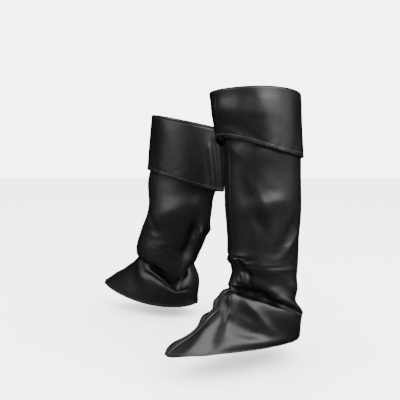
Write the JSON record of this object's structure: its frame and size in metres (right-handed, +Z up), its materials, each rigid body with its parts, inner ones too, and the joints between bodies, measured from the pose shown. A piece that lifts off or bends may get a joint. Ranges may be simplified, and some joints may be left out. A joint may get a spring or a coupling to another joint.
{
  "type": "pair of boot toppers",
  "caption": "Pair of hollow black leather-cloth boot toppers in worn pose, with deep turned-down cuffs and pointed foot covers.",
  "frame": {"origin": "middle of the left topper's top opening", "axes": "+X towards the wearer's left, -Y the way the wearer faces, +Z up"},
  "size_m": [0.4413, 0.3637, 0.3907],
  "materials": {
    "black_leather_cloth": "satin"
  },
  "bodies": {
    "root": {"left_outer_panel": "black_leather_cloth", "left_inner_panel": "black_leather_cloth", "right_outer_panel": "black_leather_cloth", "right_inner_panel": "black_leather_cloth", "left_outer_cuff": "black_leather_cloth", "left_inner_cuff": "black_leather_cloth", "right_outer_cuff": "black_leather_cloth", "right_inner_cuff": "black_leather_cloth"}
  },
  "joints": []
}
